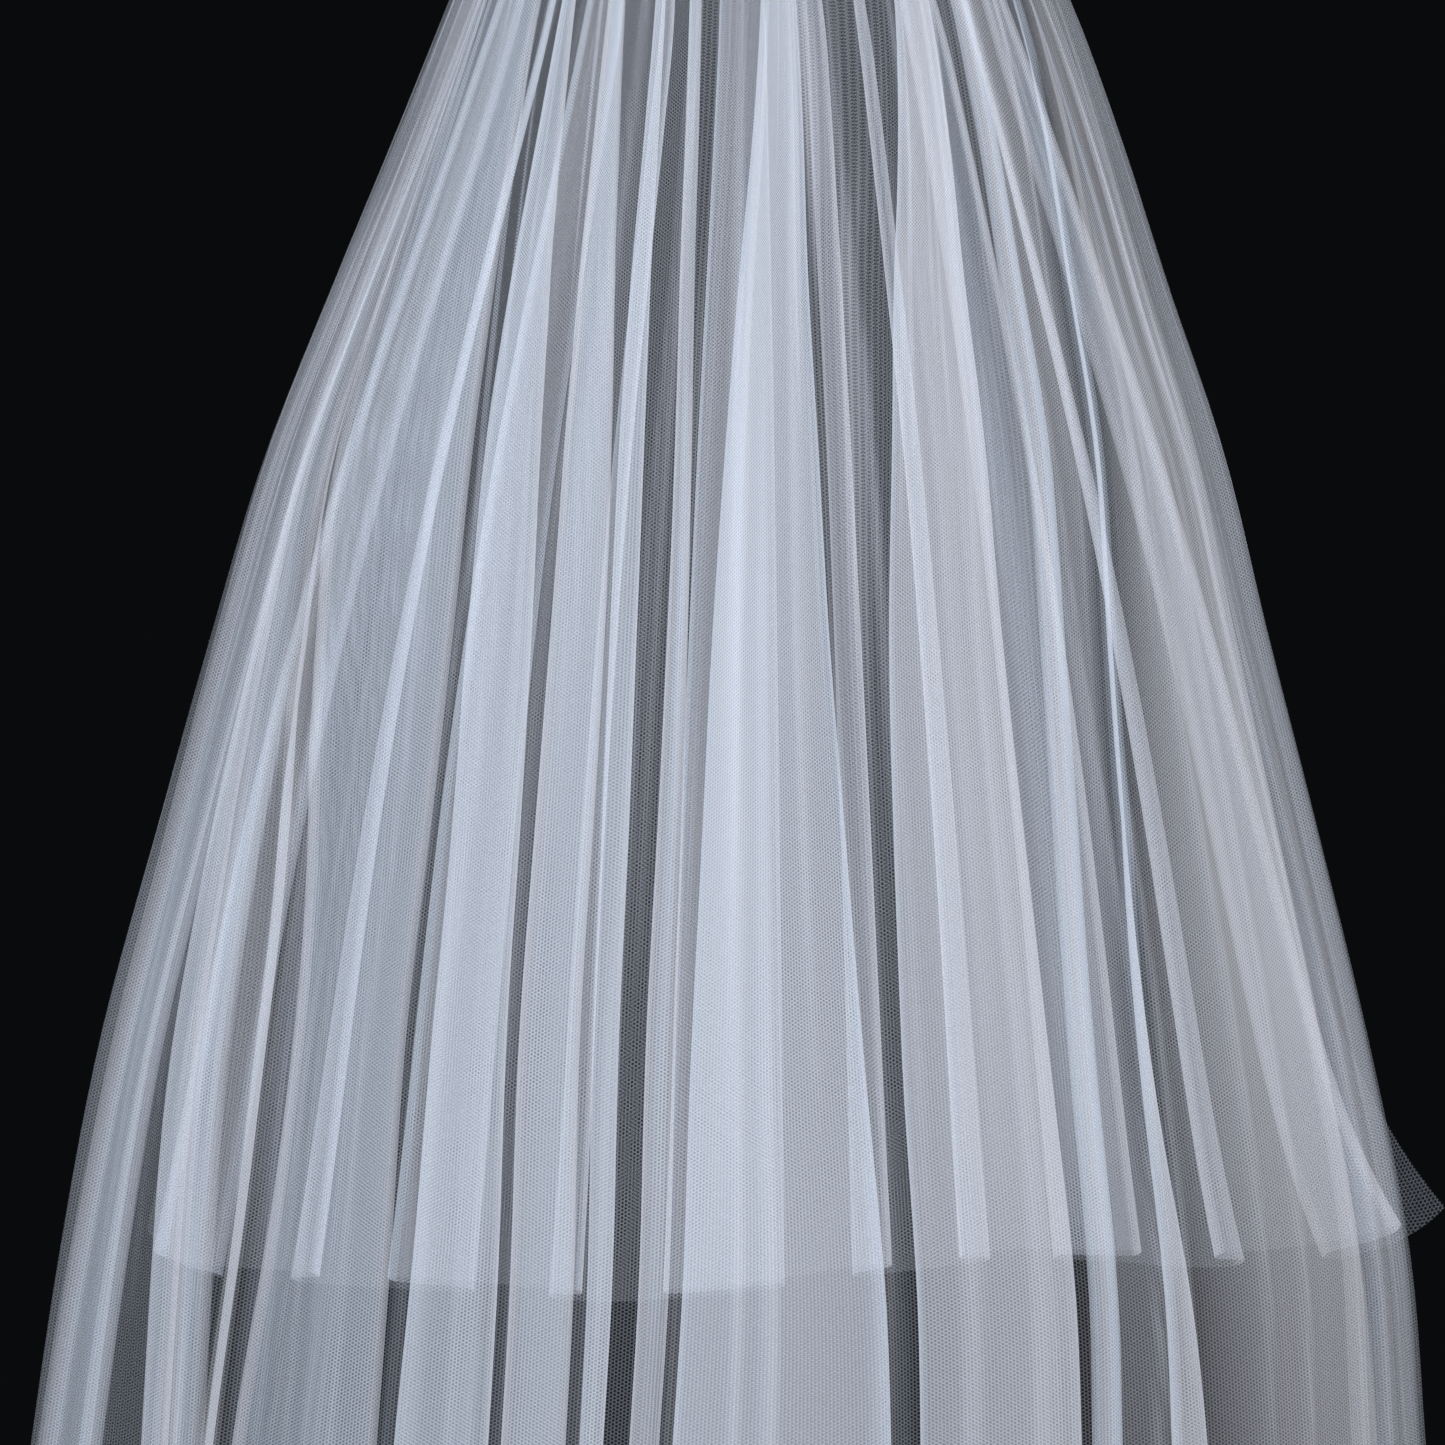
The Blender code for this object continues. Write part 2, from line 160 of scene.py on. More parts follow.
def back_base(angle, drop):
    """The long tier without its folds."""
    column = {name: smooth(drop, BACK_SECTIONS["drop"], BACK_SECTIONS[name]) for name in BACK_SECTIONS}
    k = ease(drop / 25.0)
    half = column["half_width"]
    x = column["centre_x"] + half * ((1 - k) * np.sin(np.radians(angle)) + k * angle / BACK_REACH)
    y = column["edge_y"] + (column["back_y"] - column["edge_y"]) * share(angle, BACK_REACH)
    z = 3.0 - drop + (TOP_HEIGHT - 3.0) * ease(drop / 40.0)
    z = z + 1000 * k * comb_arch(half * angle / BACK_REACH / 1000)
    return np.stack([x, y, z], axis=-1) / 1000


def front_base(angle, row):
    """The short tier without its folds."""
    rows = np.arange(len(FRONT_SECTIONS["layer"]))
    column = {name: smooth(row, rows, FRONT_SECTIONS[name]) for name in FRONT_SECTIONS}
    w = share(angle, FRONT_REACH)
    k = ease(row / 1.5)
    across = np.sin(np.radians(angle)) / math.sin(math.radians(FRONT_REACH))
    x = -column["edge_x"] * ((1 - k) * across + k * angle / FRONT_REACH)
    x = x + CORNER_FLARE * np.clip(-angle / FRONT_REACH, 0, 1) ** 6 * (row / rows[-1]) ** 12
    y = column["edge_y"] + (column["front_y"] - column["edge_y"]) * w
    z = column["edge_z"] + (column["front_z"] - column["edge_z"]) * w
    z = (1 - k) * z + k * (TOP_HEIGHT + 1000 * comb_arch(x / 1000))
    return np.stack([x, y, z], axis=-1) / 1000


# %% [markdown]
# ## The folds
# Where the net folds, it turns back on itself and forward again, so three layers lie over each other.
# That is what makes the white bands down a veil, with a single grey layer between them. Each fold is a
# row of a table: where its left and right edges are, in degrees round the wearer, at five heights.
# A cloth simulation would find its own folds, in other places. These are the ones that were there.

# %% Folds of the long tier
FOLD_DROPS = (130, 285, 534, 690, 1000)
BACK_FOLDS = (
    # name, turn, wide, pleats, after, neck, shoulder, elbow, waist, hem
    ("side_left_2", +1, 0, (1, 1.5), (0, 0, 1), (-107, -103), (-108, -103), (-108, -102), (-108, -101), (-108, -101)),
    ("side_left_1", -1, 0, (1.5, 1), (0, 0, 1), (-97, -91), (-98, -91), (-97, -89), (-97, -89), (-96, -88)),
    ("outer_left", +1, 0, (5, 4), (0, 0, 1), (-84, -80), (-81, -75), (-77, -72), (-80, -71.5), (-80, -71)),
    ("left_3", -1, 0, (5, 3.5), (1, 0, 1), (-76, -74), (-71.5, -68.5), (-64.8, -58.3), (-58.4, -53.4), (-57, -52)),
    ("left_2", +1, 0, (5, 4), (2, 0, 1), (-71.5, -70), (-66.3, -64.8), (-57.3, -55.6), (-52.3, -50.8), (-51, -49.4)),
    ("left_1", -1, 0, (4, 5), (2, 1, 1), (-67.8, -66.5), (-62.4, -61), (-49.8, -47.4), (-49, -47.4), (-47.6, -46)),
    ("broad_left", +1, 1, (1.5, 6), (0, 0, 1), (-64.3, -47.5), (-58.6, -36.9), (-43, -32), (-44, -30.8), (-43, -30.4)),
    ("inner_left_3", -1, 0, (7.5, 5), (0, 1, 1), (-40.6, -37), (-34.1, -26.4), (-28.6, -20.9), (-28.6, -19.8), (-28, -19.6)),
    ("inner_left_2", +1, 0, (6, 8.5), (1, 1, 1), (-29.1, -27.2), (-22.5, -17.6), (-19.4, -14.4), (-18.4, -13.7), (-18.3, -13.5)),
    ("inner_left_1", -1, 0, (7, 7), (0, 0, 1), (-20.3, -18.2), (-16, -12.8), (-13, -10.5), (-12.3, -10.3), (-12, -10)),
    ("centre", +1, 0, (7, 7), (0, 0, 1), (-13.5, -11.8), (-8.8, -7.2), (-7.9, -5.6), (-8, -6), (-8, -6)),
    ("broad_middle", -1, 1, (9.5, 7), (0, 1, 1), (-0.1, 5.6), (-2.2, 7.9), (-4, 11.1), (-4.7, 12.9), (-4.8, 13.8)),
    ("broad_right", +1, 1, (6, 9.5), (0, 1, 1), (25, 32.3), (18.2, 30.2), (14.8, 29.4), (15.5, 30.1), (16.5, 30.6)),
    ("inner_right", -1, 0, (5, 7), (5, 1, 1), (38, 39.6), (37, 38.6), (32, 33.3), (31.7, 32.9), (32.3, 33.5)),
    ("right_1", +1, 0, (6, 8.5), (16, 2, 0.52), (54, 56), (47.5, 49.2), (38.8, 40.6), (38.6, 43.6), (40, 45)),
    ("outer_right", -1, 0, (4, 2.5), (1, 1, 1), (73, 80), (74, 83), (79, 85), (79.5, 87), (79, 87)),
    ("side_right_1", +1, 0, (1.5, 1), (0, 0, 1), (88, 93), (90, 96), (91, 97), (92, 98), (92, 98)),
    ("side_right_2", -1, 0, (1.5, 1), (0, 0, 1), (101, 105), (102, 107), (102.5, 107.5), (103, 108), (103, 108)),
)

# %% Folds of the short tier
FRONT_FOLD_ROWS = (6, 9, 14)
FRONT_FOLDS = (
    # name, turn, wide, pleats, after, chin, chest, hem
    ("front_1", +1, 0, (3, 1), (0, 0, 1), (-57, -53), (-56.5, -52), (-56.5, -51)),
    ("front_2", -1, 0, (2, 3), (0, 0, 1), (-46, -43), (-45, -42), (-44, -41)),
    ("front_3", +1, 1, (1, 3), (0, 0, 1), (-36, -30), (-35, -28), (-34, -27)),
    ("front_4", -1, 0, (3, 1), (0, 0, 1), (-22, -19), (-21, -18.5), (-21, -18)),
    ("front_5", +1, 0, (3, 2), (0, 0, 1), (-13, -10), (-12, -9.5), (-12, -9)),
    ("front_6", -1, 1, (1, 3), (0, 0, 1), (-3, 5), (-3, 6), (-3, 7)),
    ("front_7", +1, 0, (3, 1), (0, 0, 1), (13, 16), (14, 16.5), (14, 17)),
    ("front_8", -1, 0, (1, 2), (0, 0, 1), (24, 30), (24, 31), (24, 31)),
    ("front_9", +1, 0, (3, 2), (0, 0, 1), (38, 41), (38.5, 41), (38, 41.5)),
    ("front_10", -1, 0, (2, 1), (0, 0, 1), (50, 55), (50, 55.5), (50, 56)),
)

# %% [markdown]
# ## Small creases
# Between the folds the net is not flat: soft troughs and ridges run down it, uneven in length, depth
# and spacing. They are listed one by one, a row per crease, and each is a smooth hump across that fades
# in and out along its length. A noise texture would be quicker, but its creases don't run with the folds.

# %% Creases of both tiers
BACK_CREASES = (
    # angle at the shoulder, lean by the hem, start and end in mm of drop, width in degrees, height in mm
    (-100.5, 0, 160, 930, 1.8, 1.6),
    (-93.5, 2, 60, 540, 1.0, 0.8),
    (-88.5, -2, 90, 760, 1.4, 1.4),
    (-85.0, 1, 40, 430, 0.7, 0.7),
    (-83.2, 3, 120, 990, 0.9, 1.0),
    (-79.4, 4, 60, 380, 0.6, 0.7),
    (-76.8, 5, 50, 620, 0.8, 1.0),
    (-74.2, 6, 90, 340, 0.6, -0.6),
    (-72.6, 7, 40, 460, 0.7, 0.9),
    (-69.2, 9, 60, 880, 0.9, 1.1),
    (-66.9, 9, 100, 400, 0.5, 0.6),
    (-64.4, 10, 50, 640, 0.7, 0.9),
    (-62.2, 11, 150, 560, 0.7, -0.8),
    (-59.6, 12, 40, 360, 0.6, 0.7),
    (-55.6, 11, 60, 990, 0.9, 1.2),
    (-52.8, 10, 90, 420, 0.6, 0.7),
    (-50.4, 9, 40, 700, 0.8, 1.0),
    (-47.2, 8, 140, 480, 0.7, -0.7),
    (-44.6, 7, 60, 860, 0.8, 1.0),
    (-41.2, 6, 50, 390, 0.5, 0.6),
    (-38.6, 5, 240, 990, 0.8, 1.0),
    (-31.4, 3, 60, 620, 0.6, 0.8),
    (-29.0, 2, 140, 960, 0.7, 1.0),
    (-24.4, 3, 300, 990, 0.7, 1.1),
    (-20.2, 1, 60, 720, 0.5, 0.8),
    (-18.6, 1, 170, 460, 0.5, 0.6),
    (-11.0, -1, 60, 990, 0.5, 0.8),
    (-6.2, -1, 90, 640, 0.4, 0.7),
    (-4.4, -1, 60, 990, 0.5, 1.0),
    (-0.4, 1, 120, 800, 0.5, 0.8),
    (1.9, 2, 260, 990, 0.6, 1.0),
    (5.4, 4, 60, 560, 0.5, 0.7),
    (9.6, 5, 200, 990, 0.6, 1.0),
    (12.4, 2, 60, 740, 0.5, 0.9),
    (15.6, 0, 90, 460, 0.5, -0.6),
    (20.6, -1, 120, 990, 0.6, 0.9),
    (23.8, -1, 60, 600, 0.5, 0.7),
    (26.6, 0, 240, 980, 0.6, 1.0),
    (32.6, -1, 50, 640, 0.5, 0.9),
    (34.4, -2, 90, 420, 0.5, 0.7),
    (41.8, -4, 60, 880, 0.6, 1.2),
    (44.6, -5, 40, 360, 0.5, 0.6),
    (51.8, -6, 60, 760, 0.6, 1.2),
    (54.6, -7, 120, 420, 0.5, -0.6),
    (57.2, -7, 50, 940, 0.8, 1.3),
    (61.4, -6, 60, 480, 0.6, 0.9),
    (64.6, -5, 90, 990, 0.9, 1.4),
    (68.8, -3, 50, 560, 0.7, 0.9),
    (71.6, -2, 240, 900, 0.8, 1.0),
    (79.0, 0, 60, 420, 0.7, 0.8),
    (86.6, 2, 90, 860, 1.4, 1.5),
    (99.0, 0, 140, 880, 1.8, 1.5),
)
FRONT_CREASES = (
    # angle at the chest, lean by the hem, start and end in sections, width in degrees, height in mm
    (-60.0, 0, 1, 9, 0.8, 0.8),
    (-49.0, 0, 3, 13, 1.0, 1.4),
    (-43.2, 1, 1, 8, 0.7, 0.8),
    (-38.5, 1, 4, 12, 1.0, 1.1),
    (-31.0, 1, 6, 14, 1.1, 1.3),
    (-27.0, 0, 1, 7, 0.7, 0.8),
    (-24.5, 0, 2, 9, 0.8, -1.1),
    (-15.0, -1, 4, 14, 1.0, 1.4),
    (-9.0, -1, 1, 8, 0.6, 0.8),
    (-6.0, 0, 3, 11, 0.8, 1.0),
    (1.5, 1, 5, 14, 1.1, 1.3),
    (6.5, 1, 1, 6, 0.6, 0.7),
    (10.0, 1, 2, 12, 0.9, -1.2),
    (17.8, 0, 1, 9, 0.7, 0.9),
    (21.5, 0, 5, 14, 1.1, 1.4),
    (28.0, 0, 2, 8, 0.7, 0.8),
    (34.5, 0, 3, 12, 1.0, 1.3),
    (45.0, 0, 4, 14, 1.2, 1.6),
    (52.0, 0, 1, 8, 0.7, 0.9),
    (58.0, 0, 6, 13, 1.0, 1.2),
)

# %% [markdown]
# ## From tables to a surface
# Every row of the surface follows one path: along a layer to the fold's edge, round the bend, back, and
# forward again. The corners of that path are the same at every height, so the rows join up. Each stretch
# is then cut finer, so that the bends can be rounded and the creases have points to move.

# %% The path of one row
SWELL = 0.35
BEND = 0.14
LINE = 0.6
OUTER_LINE = 13.0
INNER_LINE = 6.0


def fold_path(folds, lefts, rights, reach, slope, bend, line, height):
    """The corners of one row as (angle, level, extra layers).

    bend is how far a bend stands out and line how wide its bright line is, both in degrees. height is 0
    at the comb and 1 at the hem.
    """
    level = 0.0 if folds[0][1] > 0 else 2.0
    path = [(-reach, level, 0.0)]
    previous = -reach
    after = (0, 0, 1)
    for fold, left, right in zip(folds, lefts, rights):
        turn, wide, (dense_left, dense_right) = fold[1:4]
        middle = (left + right) / 2
        near = min(line, 0.3 * (right - left))
        slip = slope * turn * (1 - 2 * near / (right - left))
        bright_left, bright_right = bend_layers(left, turn > 0), bend_layers(right, turn < 0)
        cover = after[0] + height * (after[1] - after[0])
        path += between(previous, left if wide else right - near, level, cover, after[2])
        if wide:
            path += [(left, level, 0.0), (middle, level, 0.0)]
        path += [
            (right - near, level, 0.0),
            (right, level, bright_right / 2),
            (right + bend, 1.0 - 0.5 * turn, bright_right),
            (right, 1.0 - slope * turn, dense_right + bright_right / 2),
            (right - near, 1.0 - slip, dense_right),
        ]
        if wide:
            path.append((middle, 1.0, (dense_left + dense_right) / 2))
        level = 1.0 + turn
        path += [
            (left + near, 1.0 + slip, dense_left),
            (left, 1.0 + slope * turn, dense_left + bright_left / 2),
            (left - bend, 1.0 + 0.5 * turn, bright_left),
            (left, level, bright_left / 2),
            (left + near, level, 0.0),
        ]
        if wide:
            path += [(middle, level, 0.0), (right, level, 0.0)]
        previous = right if wide else left + near
        after = fold[4]
    path += between(previous, reach, level, 0.0, 1)
    path.append((reach, level, 0.0))
    return np.array(path)


def bend_layers(angle, outer):
    """How dense the net is in a bend: most on the outer layer, and less round the sides."""
    facing = max(math.cos(math.radians(angle)), 0.0)
    return (OUTER_LINE if outer else INNER_LINE) * (0.2 + 0.8 * facing)


def between(start, end, level, cover, stop):
    """The cloth between two folds, swelling out on the outer layer and sinking in on the inner one."""
    swell = SWELL if level > 1 else -SWELL
    shares = [0.25, 0.5, 0.75]
    if stop < 1:
        shares = sorted(shares + [stop, stop + 0.012])
    return [
        (start + t * (end - start), level + swell * 4 * t * (1 - t), cover if t <= stop else 0.0) for t in shares
    ]


# %% Rows of paths
def paths_at(folds, stops, along, plain_until, reach, degrees_per_mm, layer):
    """A path for each row, drawn into even gathers near the comb."""
    rows = []
    lefts = [smooth(np.maximum(along, stops[0]), stops, [edge[0] for edge in fold[5:]]) for fold in folds]
    rights = [smooth(np.maximum(along, stops[0]), stops, [edge[1] for edge in fold[5:]]) for fold in folds]
    for r, at in enumerate(along):
        amount = float(ease((at - plain_until) / (stops[0] - plain_until)))
        slope = 0.33 * min(max((amount - 0.2) / 0.4, 0.0), 1.0)
        bend = BEND * layer[r] * degrees_per_mm[r]
        line = LINE * degrees_per_mm[r]
        row_lefts, row_rights = [one[r] for one in lefts], [one[r] for one in rights]
        path = fold_path(folds, row_lefts, row_rights, reach, slope, bend, line, at / along[-1])
        even = np.linspace(-reach, reach, len(path))
        path[:, 0] = (1 - amount) * path[:, 0] + amount * even
        rows.append(path)
    return np.array(rows)


def refine(paths, counts):
    """Each stretch of every path cut into its count of equal parts."""
    pieces = []
    for k, count in enumerate(counts):
        for i in range(count):
            t = i / count
            pieces.append((1 - t) * paths[:, k] + t * paths[:, k + 1])
    pieces.append(paths[:, -1])
    return np.stack(pieces, axis=1)


def rounded(grid, times):
    """The grid with its bends rounded, by averaging each column's place with its neighbours'."""
    places = grid[..., :2]
    for _ in range(times):
        inner = (places[:, :-2] + 2 * places[:, 1:-1] + places[:, 2:]) / 4
        places = np.concatenate([places[:, :1], inner, places[:, -1:]], axis=1)
    return np.concatenate([places, grid[..., 2:]], axis=2)


# %% Moving the surface out along its normal
CREASE_LAYERS = 2.6


def lifted(base, angle, along, height, along_step):
    """The base surface moved outwards by height."""
    low = np.maximum(along - along_step, 0)
    down = base(angle, along + along_step) - base(angle, low)
    across = base(angle + 0.5, along) - base(angle - 0.5, along)
    normal = np.cross(down, across)
    normal /= np.linalg.norm(normal, axis=-1, keepdims=True)
    return base(angle, along) + normal * height[..., None]


def creased(creases, angle, along, first, last):
    """The height of all the listed creases in mm, and how dense the net is along their ridges."""
    height = np.zeros_like(angle)
    dense = np.zeros_like(angle)
    for at, lean, start, end, width, tall in creases:
        away = (angle - at - lean * (along - first) / (last - first)) / width
        t = np.clip((along - start) / (end - start), 0, 1)
        fade = np.sin(np.pi * t) ** 0.7
        height += tall * np.exp(-(away**2)) * fade
        dense += CREASE_LAYERS * abs(tall) * np.exp(-((away * width / max(0.28 * width, 0.45)) ** 2)) * fade
    return height, dense


# %% [markdown]
# ## The gathers
# Along the comb the whole width of the panel is drawn up on a thread, so it stands in small even
# gathers that open out a hand's width below. They are a ripple across the columns, uneven in depth,
# strongest at the thread and gone at the nape.

# %% Gathers
def gather_ripple(columns, along, fades_by, count, depth):
    """The ripple's height in mm for each row and column."""
    u = np.linspace(0, 1, columns)[None, :]
    uneven = 1 + 0.35 * np.sin(2 * np.pi * 7.3 * u + 1.0) + 0.25 * np.sin(2 * np.pi * 16.1 * u + 0.4)
    phase = 2 * np.pi * count * u + 1.3 * np.sin(2 * np.pi * 3.7 * u)
    strength = np.clip(1 - along[:, None] / fades_by, 0, 1) ** 1.6
    return depth * strength * uneven * np.sin(phase)


# %% [markdown]
# ## The net panels
# A panel is one open surface, because net is only a fifth of a millimetre thick. It has no wall of its
# own. Its UV map gives each point's place on the flat panel in metres, so that a pattern drawn on it is
# squeezed where the panel is gathered, as the real net is. One attribute goes with it: how many further
# layers lie there, in the bend of a fold or in pleats too small to model.

# %% Building a panel
def panel(name, grid, cut_width, cut_length, along_share, layers):
    """The panel's mesh, with its UV map and its extra layers."""
    rows, columns = grid.shape[:2]
    index = np.arange(rows * columns).reshape(rows, columns)
    quads = np.stack([index[:-1, :-1], index[:-1, 1:], index[1:, 1:], index[1:, :-1]], axis=-1).reshape(-1, 4)
    mesh = bpy.data.meshes.new(name)
    mesh.from_pydata(grid.reshape(-1, 3).tolist(), [], quads.tolist())
    low = np.linalg.norm(np.diff(grid[rows // 2 :], axis=1), axis=-1).mean(axis=0)
    u = np.concatenate([[0], np.cumsum(low)])
    u = u / u[-1] * cut_width
    uv = np.zeros((rows, columns, 2))
    uv[..., 0] = u[None, :]
    uv[..., 1] = along_share * cut_length
    loops = np.zeros(len(mesh.loops), int)
    mesh.loops.foreach_get("vertex_index", loops)
    layer = mesh.uv_layers.new(name="flat_panel")
    layer.data.foreach_set("uv", uv.reshape(-1, 2)[loops].ravel())
    attribute = mesh.attributes.new("extra_layers", "FLOAT", "POINT")
    attribute.data.foreach_set("value", np.ascontiguousarray(layers, dtype=np.float32).ravel())
    mesh.polygons.foreach_set("use_smooth", np.ones(len(mesh.polygons), bool))
    made = bpy.data.objects.new(name, mesh)
    bpy.context.scene.collection.objects.link(made)
    area = sum(face.area for face in mesh.polygons)
    print(f"{name}: {rows} rows, {columns} columns, {2 * len(quads)} triangles, {area:.3f} m2")
    print(f"  cloth width at mid height {low.sum():.3f} m")
    return made


# %% Fine pleats that are too small to model
def pleat_density(columns, along, fades_by, seed, most):
    """How many times over the net lies in unseen pleats: streaks along the hang, densest at the comb."""
    rng = np.random.default_rng(seed)
    u = np.linspace(0, 1, columns)
    streaks = np.zeros(columns)
    for scale, weight in ((28, 0.5), (70, 0.35), (160, 0.15)):
        knots = rng.random(scale + 1)
        streaks += weight * np.interp(u, np.linspace(0, 1, scale + 1), knots)
    streaks = np.clip((streaks - 0.42) / 0.3, 0, 1)
    strength = np.clip(1 - along[:, None] / fades_by, 0, 1) ** 1.3
    return most * strength * (0.25 + 0.75 * streaks[None, :])


# %% How the sides and the hem differ
def side_share(angle, along, low, high):
    """The share of the unseen pleats that is left: few round the sides, and fewest at the top there."""
    side = 1 - ease((np.abs(angle) - 44) / 22)
    far_side = 1 - ease((np.abs(angle) - 80) / 10)
    upper = np.clip((along - low) / (high - low), 0.02, 1.0)
    return (1 - side * (1 - upper)) * (1 - 0.8 * far_side)


def uneven_hem(angle, share_down, depth, phase):
    """How much longer the panel hangs here, because no hem is cut and hung quite level."""
    wave = np.sin(np.radians(angle) * 2.3 + phase) + 0.6 * np.sin(np.radians(angle) * 6.1 + 2 * phase)
    return depth * wave * share_down**3


# %% The long tier
back_along = np.concatenate([np.linspace(0, 120, 28)[:-1], np.linspace(120, 1000, 62)])
back_layer = smooth(back_along, BACK_SECTIONS["drop"], BACK_SECTIONS["layer"])
back_girth = smooth(back_along, BACK_SECTIONS["drop"], BACK_SECTIONS["half_width"])
back_paths = paths_at(
    BACK_FOLDS, FOLD_DROPS, back_along, 20.0, BACK_REACH, np.degrees(1 / (0.85 * back_girth)), back_layer
)


def counts_for(paths, girth, step):
    """How many parts each stretch is cut into, from its length in mm at mid height."""
    row = int(len(paths) * 0.6)
    flat = np.abs(np.diff(paths[row, :, 0])) * math.radians(1) * girth[row] * 0.85
    return [max(1, int(round(length / step))) for length in flat]


back_fine = rounded(refine(back_paths, counts_for(back_paths, back_girth, 2.1)), 2)
back_angle, back_level, back_layers = back_fine[..., 0], back_fine[..., 1], back_fine[..., 2]
back_drop = back_along[:, None] * (
    1 - BACK_CORNER * np.abs(back_angle / BACK_REACH) ** 8 * (back_along[:, None] / 1000) ** 2
)
back_drop = back_drop + uneven_hem(back_angle, back_along[:, None] / 1000, 3.0, 0.7) - 3.0 * (back_drop / 1000) ** 3
back_height = back_level * smooth(back_drop, BACK_SECTIONS["drop"], BACK_SECTIONS["layer"])
back_ridges, back_lines = creased(BACK_CREASES, back_angle, back_along[:, None], 285, 1000)
back_height = back_height + back_ridges
back_height = back_height + gather_ripple(back_angle.shape[1], back_along, 240, 46, 0.9)
back_grid = lifted(back_base, back_angle, back_drop, back_height / 1000, 2.0)
back_pleats = pleat_density(back_angle.shape[1], back_along, 420, 4, 0.6)
back_dense = (back_layers + back_lines + back_pleats) * side_share(back_angle, back_along[:, None], 200, 520)
BACK_CUT = (1.80, 1.02)
back_tier = panel("long_tier_net", back_grid, *BACK_CUT, (back_along / 1000)[:, None], back_dense)

# %% The short tier
front_along = np.linspace(0, 14, 80)
front_rows = np.arange(15)
front_layer = smooth(front_along, front_rows, FRONT_SECTIONS["layer"])
front_girth = smooth(front_along, front_rows, FRONT_SECTIONS["edge_x"])
front_paths = paths_at(
    FRONT_FOLDS, FRONT_FOLD_ROWS, front_along, 1.6, FRONT_REACH, np.degrees(1 / (1.05 * front_girth)), front_layer
)
front_fine = rounded(refine(front_paths, counts_for(front_paths, 1.2 * front_girth, 2.6)), 2)
front_angle, front_level, front_layers = front_fine[..., 0], front_fine[..., 1], front_fine[..., 2]
front_row = front_along[:, None] * (
    1 - FRONT_CORNER * np.abs(front_angle / FRONT_REACH) ** 8 * (front_along[:, None] / 14) ** 3
)
front_row = front_row + uneven_hem(front_angle, front_along[:, None] / 14, 0.12, 0.4) - 0.08 * (front_row / 14) ** 3
front_height = front_level * smooth(front_row, front_rows, FRONT_SECTIONS["layer"])
front_ridges, front_lines = creased(FRONT_CREASES, front_angle, front_along[:, None], 7, 14)
front_height = front_height + front_ridges
front_height = front_height + gather_ripple(front_angle.shape[1], front_along, 5.0, 40, 0.9)
front_grid = lifted(front_base, front_angle, front_row, front_height / 1000, 0.02)
front_pleats = pleat_density(front_angle.shape[1], front_along, 8.0, 9, 0.4)
FRONT_CUT = (1.02, 0.72)
front_tier = panel(
    "short_tier_net", front_grid, *FRONT_CUT, (front_along / 14)[:, None], front_layers + front_lines + front_pleats
)


# %% [markdown]
# ## The net itself
# Soft bridal net is knitted from very fine nylon: small holes about a millimetre apart with thin threads
# round them, so most light goes straight through one layer, and each layer over it adds white. The net is
# drawn as it is, threads and holes, as the sum of three waves that cross at sixty degrees. A plain
# see-through film would be simpler, but it loses the grain and the fine moire where layers cross. The real
# holes are 1 mm apart, too fine to show from here, so they are drawn 1.35 mm apart. Fine creases that run
# down from the gathers and fade out by the shoulders are streaks of noise, drawn out along the panel.

# %% Net material
NET_PITCH = 0.00135
THREAD_ALPHA = 0.12
HOLE_ALPHA = 0.012
LAYER_ALPHA = 0.045
IN_STEP = 0.3


def waves(tree, along, turn):
    """A cosine wave over the flat panel, one wave per row of holes, turned by an angle."""
    step = 2 * math.pi / (NET_PITCH * math.cos(math.radians(30)))
    direction = (step * math.cos(math.radians(turn)), step * math.sin(math.radians(turn)), 0.0)
    phase = node(tree, "ShaderNodeVectorMath", {"operation": "DOT_PRODUCT"}, _0=along, _1=direction)
    return node(tree, "ShaderNodeMath", {"operation": "COSINE"}, _0=phase.outputs["Value"]).outputs[0]


def math_node(tree, operation, a, b):
    """The result of one sum."""
    return node(tree, "ShaderNodeMath", {"operation": operation}, _0=a, _1=b).outputs[0]


def fine_creases(tree, flat, layers):
    """Thin streaks down the panel, strongest in the first 0.2 m and gone 0.5 m below the comb."""
    stretched = node(tree, "ShaderNodeVectorMath", {"operation": "MULTIPLY"}, _0=flat, _1=(110.0, 2.2, 0.0))
    noise = node(
        tree, "ShaderNodeTexNoise", {"noise_dimensions": "2D"}, Vector=stretched.outputs[0], Scale=1.0, Detail=1.0
    )
    streak = node(
        tree, "ShaderNodeMapRange", Value=noise.outputs["Fac"], From_Min=0.66, From_Max=0.74, To_Min=0.0, To_Max=1.0
    )
    down = node(tree, "ShaderNodeSeparateXYZ", Vector=flat).outputs["Y"]
    fade = node(tree, "ShaderNodeMapRange", Value=down, From_Min=0.2, From_Max=0.52, To_Min=layers, To_Max=0.0)
    return math_node(tree, "MULTIPLY", streak.outputs["Result"], fade.outputs["Result"])


